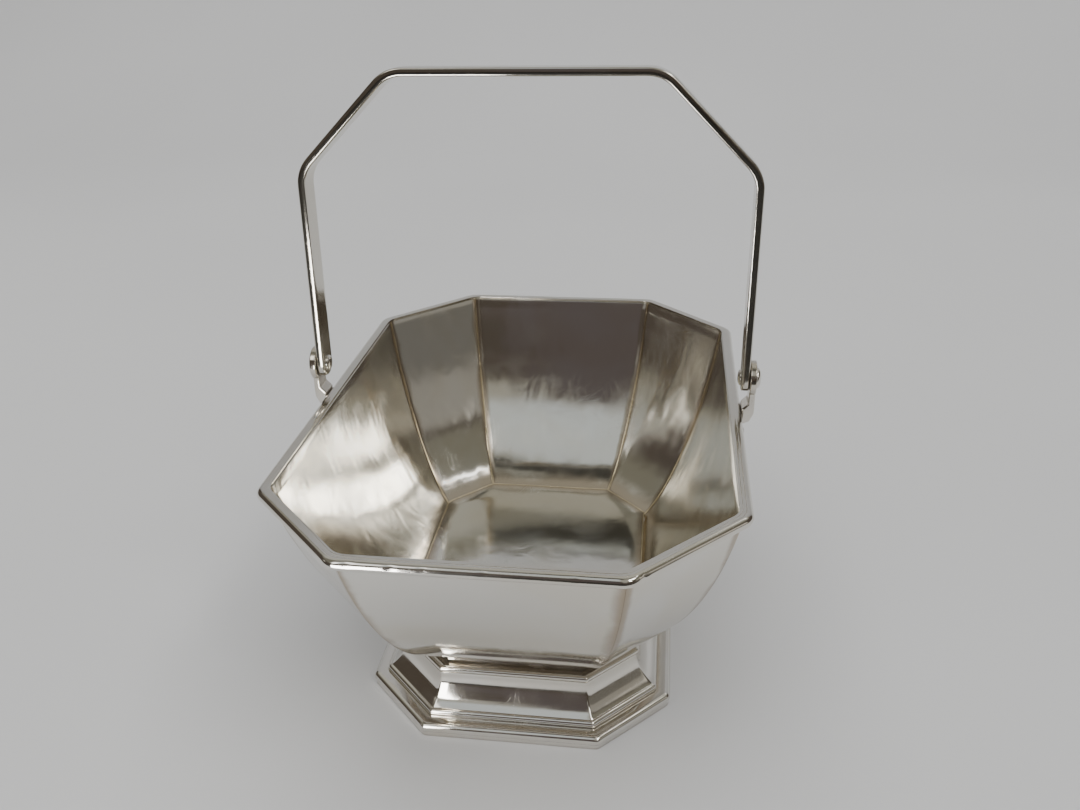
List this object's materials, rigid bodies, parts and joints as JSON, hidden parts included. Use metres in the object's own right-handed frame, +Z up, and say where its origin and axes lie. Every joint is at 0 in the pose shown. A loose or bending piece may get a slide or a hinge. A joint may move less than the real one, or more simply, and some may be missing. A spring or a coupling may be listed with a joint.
{
  "type": "swing handled sugar basket",
  "caption": "Oblong eight-sided silver sugar basket on a hollow moulded foot, with a flat strap swing handle riveted to two lugs.",
  "frame": {"origin": "middle of the foot's underside, on the surface that the basket stands on", "axes": "+Z up; Y along the bowl's long way, +Y to the back, where the handle leans; X along the handle's pivot axis"},
  "size_m": [0.1086, 0.141, 0.1423],
  "materials": {
    "wall_silver": "polished silver plate, lightly scratched, with tarnish in the creases",
    "floor_silver": "polished silver plate, dulled by use",
    "rim_silver": "polished silver plate with small knocks",
    "foot_silver": "polished silver plate, with tarnish in the mouldings",
    "lug_silver": "cast and plated, dark in the hollows",
    "rivet_silver": "polished dome, hammered inner end",
    "handle_silver": "polished silver plate strap"
  },
  "bodies": {
    "bowl": {"wall_front": "wall_silver", "wall_front_right": "wall_silver", "wall_right": "wall_silver", "wall_back_right": "wall_silver", "wall_back": "wall_silver", "wall_back_left": "wall_silver", "wall_left": "wall_silver", "wall_front_left": "wall_silver", "floor": "floor_silver", "rim": "rim_silver", "foot_collar": "foot_silver", "foot_body": "foot_silver", "foot_base": "foot_silver", "lug_left": "lug_silver", "lug_right": "lug_silver", "rivet_left": "rivet_silver", "rivet_right": "rivet_silver"},
    "handle": {"handle": "handle_silver"}
  },
  "joints": [
    {"name": "handle_swing", "type": "hinge", "parent": "bowl", "child": "handle", "pos_m": [0, 0, 0.0738], "axis": [1, 0, 0], "range_deg": [-89.5, 96.7]}
  ]
}
